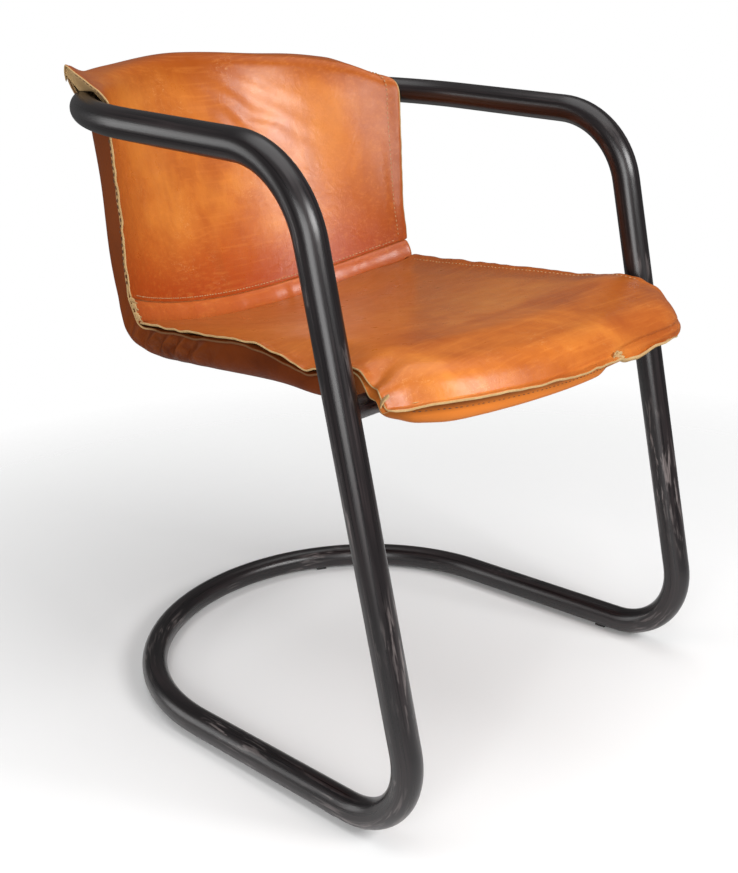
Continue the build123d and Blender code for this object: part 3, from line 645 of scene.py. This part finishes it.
# Outer cover: brown leather under the seat and behind the back, rounded up to the side seams, where its
# own raw margin lies under the tan one. It is gathered round the lower rear corners, with painted highlights
# on the gathers, and it is lighter round the front roll, where a stitched seam runs along a valley darkened
# with painted shade. Its dark brown elsewhere is partly painted shade.
def brown_leather():
    """Darker hide with broad worn patches and soft creases; its darkness is partly painted shade, with
    painted shade in the front roll's valley and painted highlights on the corner gathers.
    """
    made, tree, shader, places = new_finish("brown_leather")
    spot = places["Object"]
    clouds = cloud(tree, spot, 9.0, 5.0, 0.6, 0.5)
    # Partly painted shade: the cover's dark brown, darker low down, stands partly for a darker hide and
    # partly for the shade on its sides and underside; round the front roll it turns to the hide's lighter
    # tan.
    colour = tint(tree, ease(tree, clouds, 0.3, 0.7), (0.065, 0.011, 0.002, 1), (0.165, 0.032, 0.004, 1))
    at = parts_of(tree, spot)
    aside, reach, height = times(tree, at["X"], 0.0, "ABSOLUTE"), at["Y"], at["Z"]
    colour = tint(tree, ease(tree, height, 0.44, 0.6, 0.0, 0.45), colour, (0.25, 0.058, 0.008, 1))
    colour = tint(tree, ease(tree, reach, -0.18, -0.29), colour, (0.63, 0.185, 0.030, 1))
    # Painted shade: a darker band in the valley under the raw edge along the front roll.
    valley_shade = times(tree, ease(tree, height, 0.4395, 0.4480), ease(tree, reach, -0.24, -0.27))
    colour = tint(tree, times(tree, valley_shade, 0.75), colour, (0.13, 0.030, 0.005, 1))
    waves = {"Vector": spot, "Scale": 30.0, "Distortion": 7.0, "Detail": 3.0, "Detail Scale": 1.4}
    pleats_and_highlight = put(tree, "ShaderNodeTexWave", waves, bands_direction="DIAGONAL")["Fac"]
    corner = times(tree, ease(tree, reach, -0.02, 0.06), ease(tree, aside, 0.205, 0.220))
    corner = times(tree, corner, ease(tree, height, 0.490, 0.470))
    pleats_and_highlight = times(tree, pleats_and_highlight, corner)
    # Painted highlight: the crests of the gathers at the lower rear corners are lightened.
    colour = tint(tree, times(tree, pleats_and_highlight, 0.2), colour, (0.30, 0.085, 0.02, 1))
    feed(tree, shader, Base_Color=colour)
    feed(tree, shader, Roughness=ease(tree, clouds, 0.25, 0.8, 0.38, 0.55))
    pores = put(tree, "ShaderNodeTexVoronoi", {"Vector": spot, "Scale": 620.0}, feature="DISTANCE_TO_EDGE")[0]
    creases = cloud(tree, spot, 40.0, 5.0, 0.6, 1.5)
    bump = emboss(tree, creases, 0.25, 0.0016, emboss(tree, pores, 0.12, 0.0006))
    feed(tree, shader, Normal=emboss(tree, pleats_and_highlight, 0.4, 0.003, bump))
    shader.inputs["Specular IOR Level"].default_value = 0.05
    return made


cover_lines = {}
seam_half = half_width - seam_inset + 0.001
flat_columns, round_columns = 0.64, 0.90
roll_share = 0.25
roll_seam = 0.026


def moved_in(points, depth):
    """A line's points moved square to it, to its right."""
    ways = [(two - one).normalized() for one, two in zip(points, points[1:])]
    turns = [(one + two).normalized() for one, two in zip(ways[:1] + ways, ways + ways[-1:])]
    return [point + right_of(way) * depth for point, way in zip(points, turns)]


def cover_line(x):
    """Four lines of the cover at x: front and rear of its rim under the tan edge, and of its body."""
    key = round(x, 5)
    if key not in cover_lines:
        line = skin(x)
        ahead = Vector((fullness(x), 0))
        rise = (line[NOSE] - line[FRONT]).normalized()
        seat_way = (line[FOLD] - line[CREST]).normalized()
        back_way = (line[TOP_FRONT] - line[STRIP_TOP]).normalized()
        roll_end = line[CREST] + seat_way * ((-0.167 - line[CREST].x) / seat_way.x)
        top = tube_middle(x).y - tube_radius - 0.0235 + 0.023 * step(abs(x), 0.10, 0.18)
        rim_end = on_line(line[STRIP_TOP], back_way, top)
        rim_front = [line[FRONT] - ahead, line[NOSE] - ahead * 0.9, line[CREST], roll_end]
        rim_front = rounded(rim_front, [roll_radius, crest_radius])
        rim_rear = rounded([roll_end, line[FOLD], line[STRIP_TOP], rim_end], [0.010, 0.004])
        front = line[FRONT] + rise * 0.004 + right_of(rise) * 0.0036 - ahead
        setback = 0.016 + 0.012 * step(x, 0.02, 0.06)
        under = Vector((line[FRONT].x + setback, line[CREST].y - 0.064)) - ahead
        roll_foot = roll_end + right_of(seat_way) * 0.050
        seat_under = line[FOLD] + right_of(seat_way) * cover_gap
        behind = line[STRIP_TOP] + right_of(back_way) * (cover_gap * slant(x))
        apart = behind - seat_under
        cross = seat_way.x * back_way.y - seat_way.y * back_way.x
        heel = seat_under + seat_way * ((apart.x * back_way.y - apart.y * back_way.x) / cross)
        end = on_line(heel, back_way, top)
        cover_lines[key] = (
            moved_in(rim_front, 0.0040),
            moved_in(rim_rear, 0.0036 * slant(x)),
            rounded([front, under, roll_foot], [0.014]),
            rounded([roll_foot, heel, end], [0.105]),
        )
    return cover_lines[key]


def cover_place(across, along):
    """A point of the outer cover, whose columns crowd round its rounded edges."""
    reach = 2 * across - 1
    side = 1 if reach > 0 else -1
    reach = abs(reach)
    if reach < flat_columns:
        x = flat_half * reach / flat_columns
    elif reach < round_columns:
        turned = (reach - flat_columns) / (round_columns - flat_columns)
        x = flat_half + (seam_half - flat_half) * sin(turned * pi / 2)
    else:
        x = seam_half + 0.0082 * (reach - round_columns) / (1 - round_columns)
    rim_front, rim_rear, body_front, body_rear = cover_line(side * x)
    if along < roll_share:
        rim, body = walk(rim_front, along / roll_share), walk(body_front, along / roll_share)
    else:
        share = (along - roll_share) / (1 - roll_share)
        rim, body = walk(rim_rear, share), walk(body_rear, share)
    past = min(1.0, max(0.0, x - flat_half) / (seam_half - flat_half))
    thin = min(1.0, max(0.0, x - 0.13) / (seam_half - 0.13))
    deep = sqrt(1 - past**2)
    behind = step(rim.y, 0.455, 0.52)
    spot = rim.lerp(body, deep * (1 - behind) + (1 - thin**4) * behind)
    turn = sin(pi * past) if past < 1 else 0.0
    lower = 1 - step(spot.y, 0.56, 0.62)
    shift = 2.0 * noise.noise(Vector((spot.x * 25, spot.y * 25, 2.0)))
    gather = 0.0062 * sin((spot.x + spot.y) * 2 * pi / 0.0300 + shift)
    gather *= hump(deep, 0.50, 0.32) * hump(spot.x, 0.08, 0.07) * hump(spot.y, 0.455, 0.04)
    margin = step(x, seam_half, seam_half + 0.006)
    wave = ripple(spot.x + spot.y, 41.0 if side > 0 else 43.0) * margin
    sag = edge_sag(side * half_width, spot.x) * past * lower
    droop = -0.0004 * margin - 0.0022 * abs(wave)
    if side < 0:
        droop -= 0.0065 * margin * hump(spot.x, near_part_y, 0.016)
    groove = 0.0022 * hump(along, roll_seam, 0.0045) * (1 - margin)
    bulge = 0.0075 * turn * (1 - step(spot.y, 0.54, 0.66))
    out = side * (x + bulge + gather + 0.0014 * wave)
    if side < 0:
        out -= margin * (0.011 * hump(spot.x, near_curl_y, 0.016) + 0.004 * hump(spot.x, near_part_y, 0.016))
    else:
        near_back = step(spot.x, 0.02, 0.12) * (1 - step(spot.y, 0.495, 0.570))
        out += far_flare(x) * near_back - far_corner(x, spot.x)
    return Vector((out, spot.x + groove + 0.0012 * margin * (1 - lower), spot.y + sag + droop * lower))


cover_leather = brown_leather()
cover_suede = cut_suede("cover_suede", shadow_sides=0.85)
cover_grid = panel(columns=96, rows=120, place=cover_place, outward=False)
cover = finished("cover", cover_grid, cover_leather, cover_suede)
hide_thickness(cover, flesh=0)
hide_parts("outer_cover", "rear_pad")


# Stitching: waxed thread, sunk in the hide. Pale rows run along the far sides of seat and back and over the
# strip's upper seam, and dark ones between the raw edges at the back's near side and along the front roll.
thread_radius = 0.0007


def thread_finish(name, colour):
    """Twisted waxed thread."""
    made, tree, shader, places = new_finish(name)
    twist = cloud(tree, places["Object"], 900.0, 3.0)
    darker = tuple(0.5 * part for part in colour[:3]) + (1,)
    feed(tree, shader, Base_Color=tint(tree, twist, darker, colour))
    shader.inputs["Roughness"].default_value = 0.65
    return made


def stitches(made, place, first, last, pitch, proud):
    """Lay stitches along a line of a panel, where place gives a point from a share."""
    spots = [place(first + (last - first) * i / 400) for i in range(401)]
    run = 0.0
    after = pitch / 2
    for before, here, beyond in zip(spots, spots[1:], spots[2:]):
        run += (here - before).length
        if run < after:
            continue
        after += pitch
        way = (beyond - before).normalized()
        turn = way.to_track_quat("X", "Z").to_matrix().to_4x4()
        shape = Matrix.Diagonal((pitch * 0.36, thread_radius, thread_radius, 1))
        lift = Matrix.Translation(here + proud)
        bmesh.ops.create_icosphere(made, subdivisions=1, radius=1.0, matrix=lift @ turn @ shape)


pale_thread = thread_finish("pale_thread", (0.62, 0.38, 0.18, 1))
dark_thread = thread_finish("dark_thread", (0.12, 0.045, 0.018, 1))


def column(inset):
    """The share across the width of a place that lies a little in from the far edge."""
    return 1 - inset / (2 * half_width)


edge_thread = bmesh.new()
stitches(edge_thread, lambda t: back_place(column(seam_inset), t), 0.02, 0.70, 0.006, Vector((0, -0.0005, 0)))
stitches(edge_thread, lambda t: seat_place(column(seam_inset), t), 0.30, 0.985, 0.006, Vector((0, 0, 0.0005)))
stitches(edge_thread, lambda t: back_place(t, 0.012), 0.03, 0.97, 0.005, Vector((0, -0.0004, 0.0)))
side_stitches = finished("side_stitches", edge_thread, pale_thread)

near_thread = bmesh.new()
stitches(near_thread, lambda t: back_place(0.0, t), 0.03, 0.60, 0.007, Vector((-0.0002, 0.0060, 0)))
near_stitches = finished("near_stitches", near_thread, dark_thread)

roll_thread = bmesh.new()
stitches(roll_thread, lambda t: cover_place(t, roll_seam), 0.10, 0.90, 0.006, Vector((0, -0.0004, 0)))
roll_stitches = finished("roll_stitches", roll_thread, dark_thread)


# Edge curls: ends of the raw margins that stand up where seams meet, at the knot in the middle of the
# front edge, at the near front corner and where the near edges of seat and back come together. With them
# goes the flesh side of the hide that shows in the open near end of the sleeve.
def curl(made, place, way, outward, length, width, bend):
    """A tapered tongue of leather from a place along a way, bent towards another direction."""
    fresh = bmesh.ops.create_grid(made, x_segments=3, y_segments=7, size=0.5)["verts"]
    across = way.cross(outward)
    for vert in fresh:
        along = vert.co.y + 0.5
        wide = vert.co.x * width * (1 - 0.55 * along)
        run, rise = sin(bend * along) / bend, (1 - cos(bend * along)) / bend
        vert.co = place + across * wide + (way * run + outward * rise) * length


def sleeve_fold(made):
    """The hide's flesh side turned in towards the tube at the near end of the sleeve."""
    end = -0.226
    tube, line = tube_middle(end), back_line(end)
    for vert in bmesh.ops.create_grid(made, x_segments=26, y_segments=8, size=0.5)["verts"]:
        inward = vert.co.y + 0.5
        outer = walk(line, 0.46 + 0.225 * (vert.co.x + 0.5))
        way = (outer - tube).normalized()
        inner = tube + Vector((0.0182 + 0.0163 * way.x, tube_radius + 0.0018))
        spot = (outer - way * 0.0045).lerp(inner, inward)
        vert.co = Vector((end + 0.014 * inward, spot.x, spot.y))


scraps = bmesh.new()
sleeve_fold(scraps)
knot, outward = Vector((0.026, -0.3335, 0.4555)), Vector((0, -1, 0))
for angle, length in ((15, 0.008), (80, 0.005), (150, 0.006), (200, 0.008), (285, 0.006), (340, 0.011)):
    way = Vector((cos(radians(angle)), 0, sin(radians(angle))))
    curl(scraps, knot, way, outward, length, width=0.0065, bend=0.9)
outward = Vector((0.2, -0.3, 0.9)).normalized()
for y, z, tilt in ((0.121, 0.486, 25), (0.123, 0.491, -10), (0.126, 0.498, 30), (0.128, 0.506, 5)):
    way = Vector((-cos(radians(tilt)), -0.45, sin(radians(tilt)))).normalized()
    curl(scraps, Vector((-0.2268, y, z)), way, outward, length=0.008, width=0.012, bend=1.5)
way, outward = Vector((-0.05, -0.35, 0.93)).normalized(), Vector((0.6, -0.75, 0.2)).normalized()
curl(scraps, Vector((-0.2415, -0.256, 0.456)), way, outward, length=0.012, width=0.012, bend=1.1)
curls = finished("edge_curls", scraps, suede, suede)
hide_thickness(curls, thickness=0.0018)


# Stage: a plain pale floor that fades into a white world, and four soft studio lamps.
def pale_stage():
    """A pale matt floor that fades into the white beyond it."""
    made, tree, shader, places = new_finish("pale_stage")
    away = put(tree, "ShaderNodeVectorMath", {0: places["Object"]}, operation="LENGTH")["Value"]
    feed(tree, shader, Alpha=ease(tree, away, 0.40, 1.35, 1.0, 0.0))
    shader.inputs["Base Color"].default_value = (0.92, 0.92, 0.92, 1)
    shader.inputs["Roughness"].default_value = 0.9
    return made


ground = bmesh.new()
bmesh.ops.create_grid(ground, x_segments=1, y_segments=1, size=6.0)
floor_mesh = bpy.data.meshes.new("floor")
ground.to_mesh(floor_mesh)
ground.free()
floor = bpy.data.objects.new("floor", floor_mesh)
bpy.context.scene.collection.objects.link(floor)
floor_mesh.materials.append(pale_stage())

world = bpy.data.worlds.new("studio")
bpy.context.scene.world = world
world.use_nodes = True
sky = world.node_tree
seen = put(sky, "ShaderNodeLightPath", {})["Is Camera Ray"]
sky.nodes["Background"].inputs["Color"].default_value = (1, 1, 1, 1)
sky.links.new(ease(sky, seen, 0.0, 1.0, 0.15, 1.0), sky.nodes["Background"].inputs["Strength"])


def lamp(name, place, aim, size, power):
    """A soft square lamp that points at a spot."""
    data = bpy.data.lights.new(name, "AREA")
    data.shape = "RECTANGLE"
    data.size, data.size_y = size
    data.energy = power
    made = bpy.data.objects.new(name, data)
    bpy.context.scene.collection.objects.link(made)
    made.location = place
    made.rotation_euler = (Vector(aim) - Vector(place)).to_track_quat("-Z", "Y").to_euler()


lamp("softbox", place=(0.1, -2.7, 1.9), aim=(0, 0.2, 0.65), size=(1.5, 1.1), power=80)
lamp("fill", place=(-2.05, -1.35, 0.9), aim=(0, 0, 0.4), size=(1.3, 1.6), power=40)
lamp("rear_fill", place=(-2.0, 2.2, 1.0), aim=(0, 0.1, 0.5), size=(1.6, 1.4), power=22)
lamp("overhead", place=(0.0, -0.2, 3.2), aim=(0, -0.2, 0.0), size=(3.0, 2.6), power=46)

# Camera: at the photograph's viewing point.
lens = bpy.data.cameras.new("camera")
lens.sensor_width = 36.0
lens.lens = 46.464
camera = bpy.data.objects.new("camera", lens)
bpy.context.scene.collection.objects.link(camera)
right = Vector((0.681736, -0.730369, -0.042396))
up = Vector((0.262371, 0.189983, 0.946080))
forward = Vector((0.682933, 0.656100, -0.321146))
eye = Vector((-0.9446, -0.9144, 0.7549))
camera.matrix_world = Matrix.Translation(eye) @ Matrix((right, up, -forward)).transposed().to_4x4()
bpy.context.scene.camera = camera
bpy.context.scene.view_settings.view_transform = "Standard"
